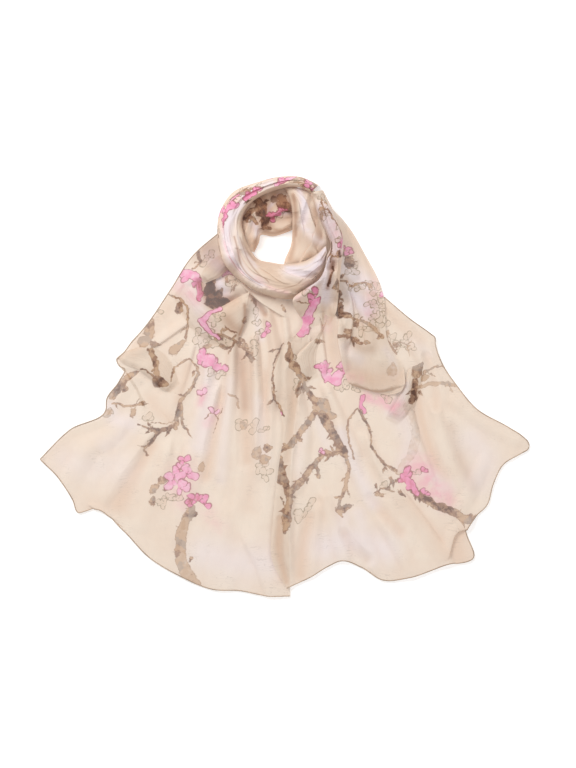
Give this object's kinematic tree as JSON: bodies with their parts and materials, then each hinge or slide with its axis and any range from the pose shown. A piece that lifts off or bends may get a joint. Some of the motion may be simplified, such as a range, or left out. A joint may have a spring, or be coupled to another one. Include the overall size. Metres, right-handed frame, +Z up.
{
  "type": "long sheer scarf laid flat with a wound neck loop",
  "caption": "Long sheer scarf laid flat: wound once into a gathered neck loop, its two ends fanned out below with rolled hems.",
  "frame": {"origin": "under the middle of the laid scarf's outline, on the surface that it lies on", "axes": "+X across the fanned ends, to the right as seen from above; +Y towards the neck loop; +Z up"},
  "size_m": [0.7379, 0.6315, 0.0536],
  "materials": {
    "cloth": "sheer soft voile, cream, printed with blossom branches",
    "hem_thread": "rolled and overlocked edge, grey-brown"
  },
  "bodies": {
    "root": {"tail_left": "cloth", "tail_right": "cloth", "wrap_side": "cloth", "wrap_back": "cloth", "wrap_inner": "cloth", "wrap_front": "cloth", "strand": "cloth", "hem_left": "hem_thread", "hem_right": "hem_thread", "selvedge_left": "hem_thread", "selvedge_right": "hem_thread"}
  },
  "joints": []
}
